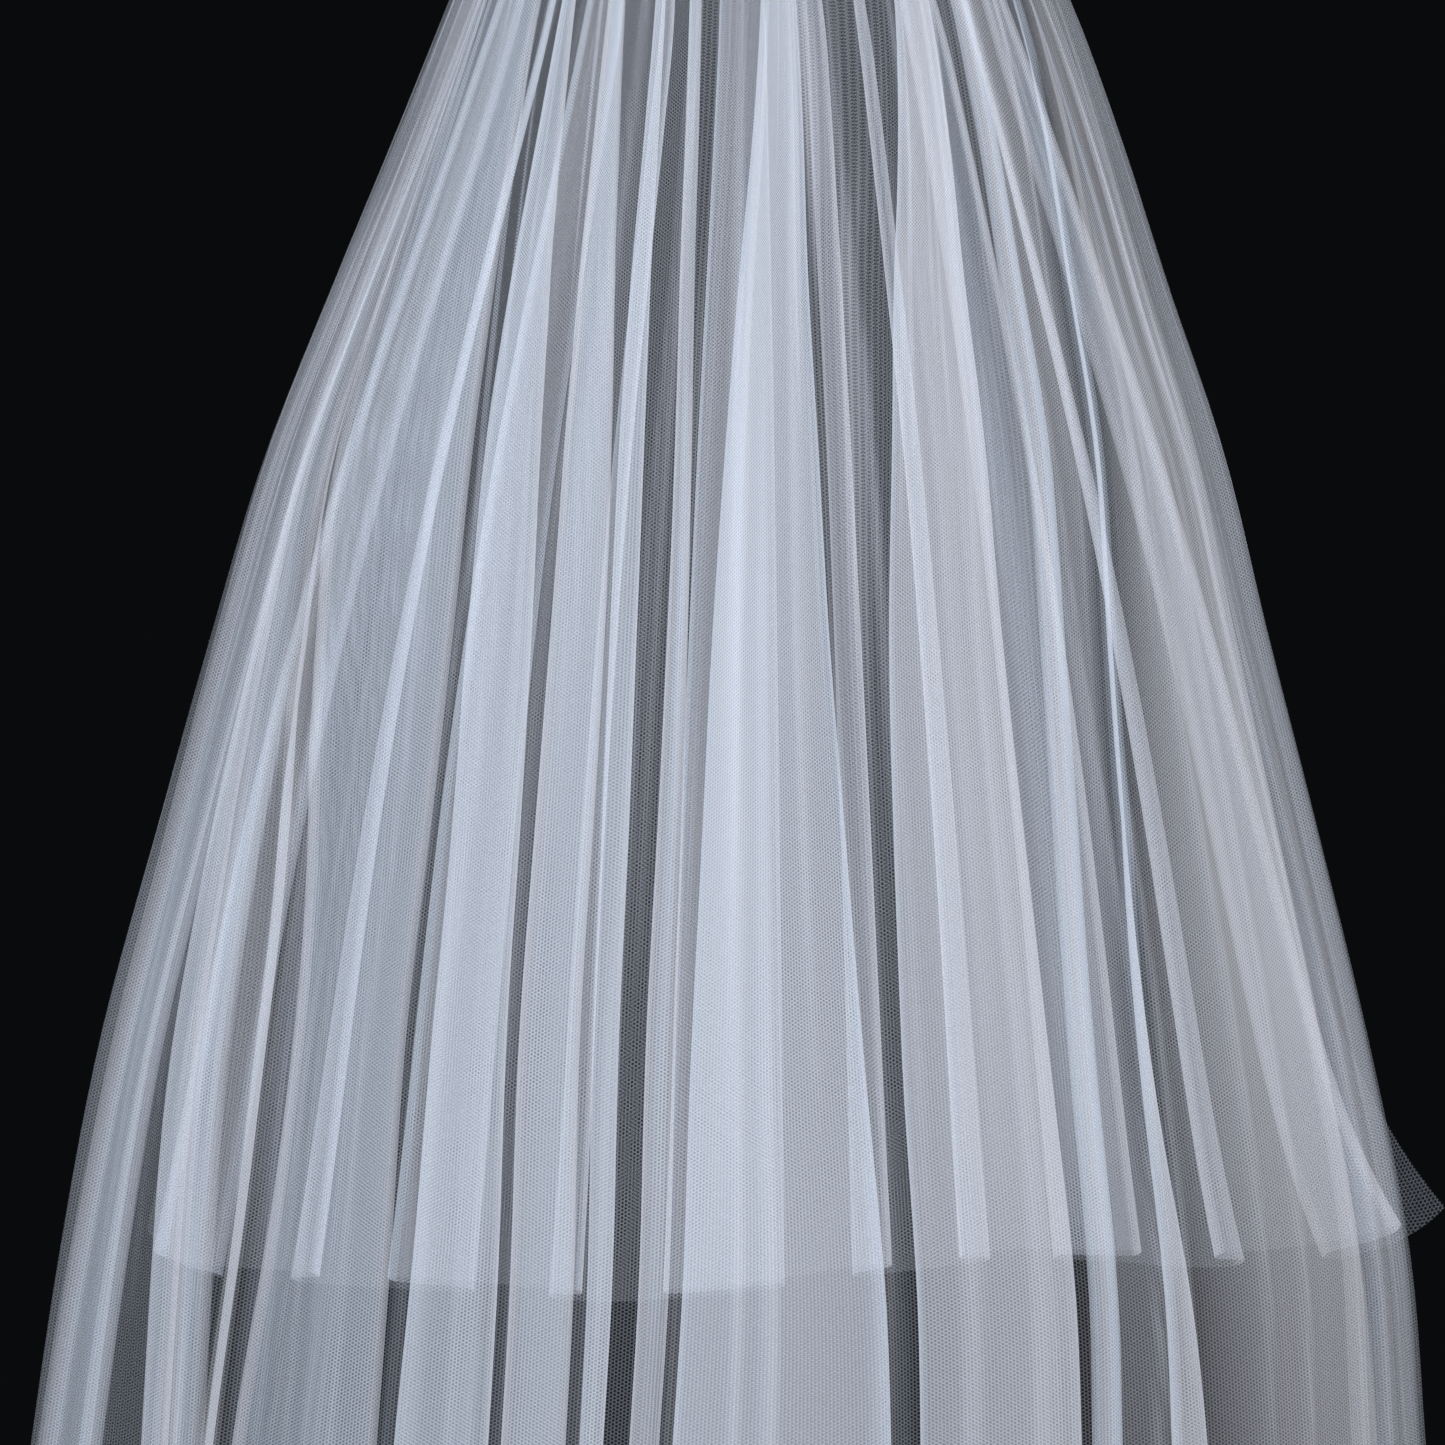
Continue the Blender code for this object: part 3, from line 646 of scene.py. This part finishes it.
def net_material(name, tint, streak_layers):
    """Knitted nylon net: matt white threads round six-sided holes, with further layers behind it."""
    made, tree, shader = new_material(name)
    flat = node(tree, "ShaderNodeUVMap", {"uv_map": "flat_panel"}).outputs["UV"]
    first, second, third = (waves(tree, flat, turn) for turn in (0, 60, 120))
    holes = math_node(tree, "ADD", math_node(tree, "ADD", first, second), third)
    one_layer = node(
        tree,
        "ShaderNodeMapRange",
        Value=holes,
        From_Min=-1.2,
        From_Max=0.6,
        To_Min=1 - THREAD_ALPHA,
        To_Max=1 - HOLE_ALPHA,
    )
    given = node(tree, "ShaderNodeAttribute", {"attribute_name": "extra_layers"}).outputs["Fac"]
    extra = math_node(tree, "ADD", given, fine_creases(tree, flat, streak_layers))
    in_step = node(tree, "ShaderNodeMath", {"operation": "MULTIPLY_ADD"}, _0=extra, _1=IN_STEP, _2=1.0)
    out_of_step = math_node(tree, "MULTIPLY", extra, 1 - IN_STEP)
    patterned = math_node(tree, "POWER", one_layer.outputs["Result"], in_step.outputs[0])
    others = math_node(tree, "POWER", 1 - LAYER_ALPHA, out_of_step)
    through = math_node(tree, "MULTIPLY", patterned, others)
    cover = math_node(tree, "SUBTRACT", 1.0, through)
    tree.links.new(cover, shader.inputs["Alpha"])
    shader.inputs["Base Color"].default_value = colour(tint)
    shader.inputs["Roughness"].default_value = 1.0
    shader.inputs["Specular IOR Level"].default_value = 0.0
    return made


back_tier.data.materials.append(net_material("soft_nylon_net", "#EFF2F9", 5.0))
front_tier.data.materials.append(net_material("soft_nylon_net_short_tier", "#EFF2F9", 1.5))
for tier in (back_tier, front_tier):
    tier.visible_shadow = False  # a layer of net dims the next too little to see, and this renders much faster

for tier, node_name, cut, holds in (
    (back_tier, "back_tier", BACK_CUT, "gathered"),
    (front_tier, "front_tier", FRONT_CUT, "gathered"),
):
    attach(tier, "root")
    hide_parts(node_name)


# %% [markdown]
# ## Node trees that repeat a piece
# The comb's teeth, the thread wraps and the stitches all repeat along the same arch. Each is a Geometry
# Nodes tree: points in a row, bent to the arch, with one small piece on every point. Copying by hand
# would give the same, but with a tree the count is one number. Each tree ends in real geometry with its
# material, and is turned into a plain mesh.

# %% Helpers for trees
def new_tree(name, inputs):
    """An empty geometry tree with a geometry input and output and the named inputs."""
    tree = bpy.data.node_groups.new(name, "GeometryNodeTree")
    tree.interface.new_socket("Geometry", in_out="INPUT", socket_type="NodeSocketGeometry")
    for label, kind, value in inputs:
        socket = tree.interface.new_socket(label, in_out="INPUT", socket_type=kind)
        if value is not None:
            socket.default_value = value
    tree.interface.new_socket("Geometry", in_out="OUTPUT", socket_type="NodeSocketGeometry")
    return tree, tree.nodes.new("NodeGroupInput"), tree.nodes.new("NodeGroupOutput")


def arch_points(tree, given):
    """A row of points along the comb's arch, Count of them, from -Half Width to Half Width."""
    start = node(tree, "ShaderNodeCombineXYZ", X=math_node(tree, "MULTIPLY", given.outputs["Half Width"], -1.0))
    end = node(tree, "ShaderNodeCombineXYZ", X=given.outputs["Half Width"])
    row = node(
        tree,
        "GeometryNodeMeshLine",
        {"mode": "END_POINTS"},
        Count=given.outputs["Count"],
        Start_Location=start.outputs[0],
    )
    tree.links.new(end.outputs[0], row.inputs["Offset"])
    place = node(tree, "GeometryNodeInputPosition")
    x = node(tree, "ShaderNodeSeparateXYZ", Vector=place.outputs[0]).outputs["X"]
    share_out = math_node(tree, "DIVIDE", x, COMB_WIDTH / 2)
    fall = math_node(tree, "MULTIPLY", math_node(tree, "MULTIPLY", share_out, share_out), -COMB_ARCH)
    lift = node(tree, "ShaderNodeCombineXYZ", Z=fall)
    return node(
        tree, "GeometryNodeSetPosition", Geometry=row.outputs["Mesh"], Offset=lift.outputs[0]
    ).outputs["Geometry"]


def finish_tree(tree, out, parts, material):
    """Join the parts, make the instances real and give them the material."""
    joined = node(tree, "GeometryNodeJoinGeometry")
    for part in parts:
        tree.links.new(part, joined.inputs["Geometry"])
    real = node(tree, "GeometryNodeRealizeInstances", Geometry=joined.outputs["Geometry"])
    smooth_faces = node(tree, "GeometryNodeSetShadeSmooth", Geometry=real.outputs["Geometry"])
    dressed = node(tree, "GeometryNodeSetMaterial", Geometry=smooth_faces.outputs["Geometry"], Material=material)
    tree.links.new(dressed.outputs["Geometry"], out.inputs["Geometry"])


def grown(name, base, tree, values):
    """The base mesh with the tree run on it, as a plain object."""
    source = bpy.data.objects.new(name + "_base", base)
    bpy.context.scene.collection.objects.link(source)
    modifier = source.modifiers.new("tree", "NODES")
    modifier.node_group = tree
    sockets = {item.name: item.identifier for item in tree.interface.items_tree if item.in_out == "INPUT"}
    for label, value in values.items():
        modifier[sockets[label]] = value
    bpy.context.view_layer.update()
    evaluated = source.evaluated_get(bpy.context.evaluated_depsgraph_get())
    mesh = bpy.data.meshes.new_from_object(evaluated)
    mesh.name = name
    bpy.data.objects.remove(source, do_unlink=True)
    made = bpy.data.objects.new(name, mesh)
    bpy.context.scene.collection.objects.link(made)
    print(f"{name}: {len(mesh.polygons)} faces")
    return made


# %% [markdown]
# ## Finishes of the comb
# The comb is steel wire with a bright silver plating, the ribbon is woven satin, and the thread is
# polyester, two-ply, with a dull shine. All are small, so each needs only its colour, its gloss and a
# fine relief.

# %% Wire, ribbon and thread
def plated_wire():
    """Silver-plated steel wire, bright and a little uneven from the polish."""
    made, tree, shader = new_material("silver_plated_wire")
    place = node(tree, "ShaderNodeTexCoord")
    noise = node(tree, "ShaderNodeTexNoise", Vector=place.outputs["Object"], Scale=900.0, Detail=3.0)
    rough = node(
        tree, "ShaderNodeMapRange", Value=noise.outputs["Fac"], From_Min=0.3, From_Max=0.7, To_Min=0.18, To_Max=0.32
    )
    tree.links.new(rough.outputs["Result"], shader.inputs["Roughness"])
    shader.inputs["Base Color"].default_value = colour("#D9D9D6")
    shader.inputs["Metallic"].default_value = 1.0
    return made


def satin_ribbon():
    """Woven satin ribbon, with fine threads across it 0.4 mm apart."""
    made, tree, shader = new_material("white_satin_ribbon")
    place = node(tree, "ShaderNodeTexCoord")
    threads = node(
        tree, "ShaderNodeTexWave", {"bands_direction": "X"}, Vector=place.outputs["Object"], Scale=800.0, Distortion=0.6
    )
    bump = node(tree, "ShaderNodeBump", Height=threads.outputs["Fac"], Strength=0.35, Distance=0.0002)
    tree.links.new(bump.outputs["Normal"], shader.inputs["Normal"])
    shader.inputs["Base Color"].default_value = colour("#E8EAEF")
    shader.inputs["Roughness"].default_value = 0.38
    shader.inputs["Sheen Weight"].default_value = 0.3
    return made


def sewing_thread():
    """White two-ply polyester thread, its twist as a fine slanting relief."""
    made, tree, shader = new_material("white_sewing_thread")
    place = node(tree, "ShaderNodeTexCoord")
    twist = node(
        tree, "ShaderNodeTexWave", {"bands_direction": "DIAGONAL"}, Vector=place.outputs["Object"], Scale=1500.0
    )
    bump = node(tree, "ShaderNodeBump", Height=twist.outputs["Fac"], Strength=0.5, Distance=0.0001)
    tree.links.new(bump.outputs["Normal"], shader.inputs["Normal"])
    shader.inputs["Base Color"].default_value = colour("#FAFAFA")
    shader.inputs["Roughness"].default_value = 0.6
    return made


wire, ribbon, thread = plated_wire(), satin_ribbon(), sewing_thread()

# %% [markdown]
# ## The comb
# A wire comb is one bar along the crown with twenty teeth pressed out of round wire. Each tooth leans
# forward with the head and thins to a blunt tip, so it slides into hair. The bar is a rounded strip
# along the arch, and the tree adds the teeth to it.


# %% The bar
def arched_strip(name, half_width, depth, height, middle, power, steps, material, pucker=0.0, puckers=0):
    """A strip along the arch with a rounded section. pucker is how much it draws in at each stitch."""
    stations = np.linspace(-half_width, half_width, steps)
    turns = np.linspace(0, 2 * math.pi, 24, endpoint=False)
    points = []
    for x in stations:
        near_end = min(1.0, (half_width - abs(x)) / (0.4 * depth))
        size = (1 - (1 - max(near_end, 0.0)) ** 2) ** 0.5 * 0.25 + 0.75
        size *= 1 - pucker * (0.5 - 0.5 * math.cos(math.pi * puckers * (x / half_width + 1)))
        for turn in turns:
            c, d = math.cos(turn), math.sin(turn)
            y = math.copysign(abs(c) ** power, c) * depth / 2 * size
            z = math.copysign(abs(d) ** power, d) * height / 2 * size
            points.append((x, y, middle + comb_arch(x) + z))
    count = len(turns)
    faces = []
    for k in range(steps - 1):
        for i in range(count):
            j = (i + 1) % count
            faces.append((count * k + i, count * k + j, count * (k + 1) + j, count * (k + 1) + i))
    faces.append(tuple(reversed(range(count))))
    faces.append(tuple(range(count * (steps - 1), count * steps)))
    mesh = bpy.data.meshes.new(name)
    mesh.from_pydata(points, [], faces)
    work = bmesh.new()
    work.from_mesh(mesh)
    bmesh.ops.recalc_face_normals(work, faces=work.faces[:])
    work.to_mesh(mesh)
    work.free()
    mesh.polygons.foreach_set("use_smooth", np.ones(len(mesh.polygons), bool))
    mesh.materials.append(material)
    return mesh


BAR = {"depth": 0.0030, "height": 0.0045}
bar_mesh = arched_strip("comb_bar", COMB_WIDTH / 2, BAR["depth"], BAR["height"], BAR["height"] / 2, 0.6, 60, wire)


# %% The teeth
def tooth_tree(material):
    """A tapered wire tooth on each point of the arch, joined to the bar."""
    tree, given, out = new_tree(
        "comb_teeth",
        (
            ("Count", "NodeSocketInt", 20),
            ("Half Width", "NodeSocketFloat", 0.0465),
            ("Length", "NodeSocketFloat", 0.036),
            ("Lean", "NodeSocketFloat", 0.007),
            ("Radius", "NodeSocketFloat", 0.00115),
        ),
    )
    tip_z = math_node(tree, "MULTIPLY", given.outputs["Length"], -1.0)
    tip = node(tree, "ShaderNodeCombineXYZ", Y=given.outputs["Lean"], Z=tip_z)
    half_z = math_node(tree, "MULTIPLY", tip_z, 0.5)
    bow = node(tree, "ShaderNodeCombineXYZ", Z=half_z)
    line = node(
        tree,
        "GeometryNodeCurveQuadraticBezier",
        Resolution=14,
        Start=(0.0, 0.0, 0.001),
        Middle=bow.outputs[0],
        End=tip.outputs[0],
    )
    along = node(tree, "GeometryNodeSplineParameter")
    taper = node(
        tree, "ShaderNodeMapRange", Value=along.outputs["Factor"], From_Min=0.2, From_Max=1.0, To_Min=1.0, To_Max=0.42
    )
    radius = math_node(tree, "MULTIPLY", taper.outputs["Result"], given.outputs["Radius"])
    thinned = node(tree, "GeometryNodeSetCurveRadius", Curve=line.outputs["Curve"], Radius=radius)
    ring = node(tree, "GeometryNodeCurvePrimitiveCircle", Resolution=12, Radius=1.0)
    tube = node(
        tree,
        "GeometryNodeCurveToMesh",
        Curve=thinned.outputs["Curve"],
        Profile_Curve=ring.outputs["Curve"],
        Fill_Caps=True,
    )
    if "Scale" in tube.inputs:
        tree.links.new(radius, tube.inputs["Scale"])
    ball = node(tree, "GeometryNodeMeshUVSphere", Segments=12, Rings=8)
    tree.links.new(math_node(tree, "MULTIPLY", given.outputs["Radius"], 0.5), ball.inputs["Radius"])
    tipped = node(tree, "GeometryNodeTransform", Geometry=ball.outputs["Mesh"], Translation=tip.outputs[0])
    tooth = node(tree, "GeometryNodeJoinGeometry")
    tree.links.new(tube.outputs["Mesh"], tooth.inputs["Geometry"])
    tree.links.new(tipped.outputs["Geometry"], tooth.inputs["Geometry"])
    placed = node(
        tree, "GeometryNodeInstanceOnPoints", Points=arch_points(tree, given), Instance=tooth.outputs["Geometry"]
    )
    finish_tree(tree, out, (placed.outputs["Instances"], given.outputs["Geometry"]), material)
    return tree


comb = grown("wire_comb", bar_mesh, tooth_tree(wire), {"Count": 20, "Radius": 0.00115})
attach(comb, "root")
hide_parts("comb")

# %% [markdown]
# ## The ribbon over the gathers
# Both gathered edges are laid against the bar and covered by a strip of satin ribbon folded over it.
# The stitches draw the ribbon in a little, so it puckers between them.

# %% The ribbon
BINDING = {"depth": 0.0090, "height": 0.0040, "bottom": 0.0048}
STITCHES = 34
ribbon_mesh = arched_strip(
    "ribbon",
    COMB_WIDTH / 2 + 0.0005,
    BINDING["depth"],
    BINDING["height"],
    BINDING["bottom"] + BINDING["height"] / 2,
    0.45,
    STITCHES * 6 + 1,
    ribbon,
    pucker=0.05,
    puckers=STITCHES,
)
binding = bpy.data.objects.new("satin_binding", ribbon_mesh)
bpy.context.scene.collection.objects.link(binding)
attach(binding, "root")
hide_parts("comb_binding")


# %% [markdown]
# ## Thread
# Two kinds of thread hold it together. A row of short running stitches on each side goes through the
# ribbon and the gathered net. And between every two teeth the thread is wound twice round the bar and
# the ribbon, so that the wraps lie in the gaps of the comb and can't slide.

# %% Stitches and wraps
def thread_tree(name, wrap, material):
    """Short stitches, or loops round the bar, on each point of the arch."""
    tree, given, out = new_tree(
        name,
        (
            ("Count", "NodeSocketInt", 34),
            ("Half Width", "NodeSocketFloat", 0.046),
            ("Thread", "NodeSocketFloat", 0.00016),
            ("Size", "NodeSocketVector", (0.0018, 0.0005, 0.0)),
            ("Place", "NodeSocketVector", (0.0, 0.0, 0.0)),
        ),
    )
    if wrap:
        size = node(tree, "ShaderNodeSeparateXYZ", Vector=given.outputs["Size"])
        loop = node(
            tree,
            "GeometryNodeCurvePrimitiveQuadrilateral",
            {"mode": "TRAPEZOID"},
            Bottom_Width=size.outputs["X"],
            Top_Width=size.outputs["Y"],
            Height=size.outputs["Z"],
            Offset=0.0,
        )
        rounded_loop = node(
            tree,
            "GeometryNodeFilletCurve",
            {"mode": "POLY"},
            Curve=loop.outputs["Curve"],
            Count=5,
            Radius=0.0013,
            Limit_Radius=True,
        )
        shaped = node(
            tree,
            "GeometryNodeTransform",
            Geometry=rounded_loop.outputs["Curve"],
            Rotation=(math.radians(90), 0.0, math.radians(90)),
        ).outputs["Geometry"]
    else:
        size = node(tree, "ShaderNodeSeparateXYZ", Vector=given.outputs["Size"])
        half = math_node(tree, "MULTIPLY", size.outputs["X"], 0.5)
        start = node(tree, "ShaderNodeCombineXYZ", X=math_node(tree, "MULTIPLY", half, -1.0))
        rise = node(tree, "ShaderNodeCombineXYZ", Y=size.outputs["Y"], Z=size.outputs["Z"])
        end = node(tree, "ShaderNodeCombineXYZ", X=half)
        shaped = node(
            tree,
            "GeometryNodeCurveQuadraticBezier",
            Resolution=8,
            Start=start.outputs[0],
            Middle=rise.outputs[0],
            End=end.outputs[0],
        ).outputs["Curve"]
    ring = node(tree, "GeometryNodeCurvePrimitiveCircle", Resolution=8, Radius=given.outputs["Thread"])
    tube = node(
        tree, "GeometryNodeCurveToMesh", Curve=shaped, Profile_Curve=ring.outputs["Curve"], Fill_Caps=True
    )
    rng_turn = node(tree, "FunctionNodeRandomValue", {"data_type": "FLOAT_VECTOR"}, Seed=5)
    rng_turn.inputs["Min"].default_value = (-0.06, -0.06, -0.12)
    rng_turn.inputs["Max"].default_value = (0.06, 0.06, 0.12)
    placed = node(
        tree,
        "GeometryNodeInstanceOnPoints",
        Points=arch_points(tree, given),
        Instance=tube.outputs["Mesh"],
        Rotation=rng_turn.outputs["Value"],
    )
    moved = node(
        tree,
        "GeometryNodeTransform",
        Geometry=placed.outputs["Instances"],
        Translation=given.outputs["Place"],
    )
    finish_tree(tree, out, (moved.outputs["Geometry"],), material)
    return tree


stitch_tree = thread_tree("running_stitches", False, thread)
wrap_tree = thread_tree("thread_wraps", True, thread)
for name, tree, values in (
    (
        "back_stitches",
        stitch_tree,
        {"Count": STITCHES, "Size": (0.0018, -0.0006, 0.0), "Place": (0.0, -0.0046, 0.0068)},
    ),
    (
        "front_stitches",
        stitch_tree,
        {"Count": STITCHES, "Size": (0.0018, 0.0006, 0.0), "Place": (0.0, 0.0046, 0.0068)},
    ),
    (
        "thread_wraps",
        wrap_tree,
        {"Count": 19, "Half Width": 0.04405, "Size": (0.0036, 0.0092, 0.0094), "Place": (0.0, 0.0, 0.0044)},
    ),
):
    piece = grown(name, bpy.data.meshes.new(name + "_base"), tree, values)
    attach(piece, "root")


# %% [markdown]
# ## Floor, light and camera
# The veil hangs at the height of a standing wearer over a plain pale floor. Net shows best against the
# dark, with broad soft lamps in front of it, a cooler one from the left, as in the photograph. The camera
# looks straight at the back from a little over two metres, level with the shoulder blades.


# %% Floor
def floor_disc(radius, height):
    """A round pale floor, well below the hem."""
    work = bmesh.new()
    bmesh.ops.create_circle(work, cap_ends=True, segments=96, radius=radius)
    mesh = bpy.data.meshes.new("floor")
    work.to_mesh(mesh)
    work.free()
    for vertex in mesh.vertices:
        vertex.co.z = height
    made = bpy.data.objects.new("floor", mesh)
    bpy.context.scene.collection.objects.link(made)
    material, tree, shader = new_material("pale_floor")
    shader.inputs["Base Color"].default_value = colour("#D8D8D6")
    shader.inputs["Roughness"].default_value = 0.8
    made.data.materials.append(material)
    return made


floor = floor_disc(1.6, -1.68)

# %% World
world = bpy.data.worlds.new("studio")
world.use_nodes = True
world.node_tree.nodes["Background"].inputs["Color"].default_value = colour("#0A0B0D")
world.node_tree.nodes["Background"].inputs["Strength"].default_value = 1.0
bpy.context.scene.world = world


# %% Lamps
def soft_lamp(name, place, aim, size, power, tint):
    """A square soft lamp at a place, aimed at a point."""
    data = bpy.data.lights.new(name, "AREA")
    data.shape = "SQUARE"
    data.size = size
    data.energy = power
    data.color = colour(tint)[:3]
    made = bpy.data.objects.new(name, data)
    made.location = place
    direction = np.array(aim, float) - np.array(place, float)
    made.rotation_euler = mathutils.Vector(direction).to_track_quat("-Z", "Y").to_euler()
    bpy.context.scene.collection.objects.link(made)
    return made


soft_lamp("left_lamp", (-1.6, -1.7, 0.3), (0, 0, -0.45), 1.2, 50, "#E3F0FF")
soft_lamp("right_lamp", (1.7, -1.6, 0.5), (0, 0, -0.45), 1.2, 41, "#FFFCFF")
soft_lamp("top_lamp", (0.0, 0.4, 1.6), (0, 0, -0.3), 1.0, 25, "#FFFFFF")
soft_lamp("far_lamp", (0.4, 1.9, 0.4), (0, 0, -0.4), 1.2, 20, "#F2F6FF")

# %% Camera
VIEW_WIDTH = 0.5636
VIEW_CENTRE = (-0.011, -0.410)
CAMERA_AWAY = 2.2
camera_data = bpy.data.cameras.new("camera")
camera_data.sensor_width = 36.0
camera_data.lens = 36.0 * CAMERA_AWAY / VIEW_WIDTH
camera = bpy.data.objects.new("camera", camera_data)
camera.location = (VIEW_CENTRE[0], -CAMERA_AWAY, VIEW_CENTRE[1])
camera.rotation_euler = (math.radians(90), 0, 0)
bpy.context.scene.collection.objects.link(camera)
bpy.context.scene.camera = camera
bpy.context.scene.view_settings.view_transform = "Standard"
bpy.context.scene.cycles.transparent_max_bounces = 28
bpy.context.scene.cycles.max_bounces = 3
bpy.context.scene.cycles.diffuse_bounces = 1
print("lens", round(camera_data.lens, 1), "mm")
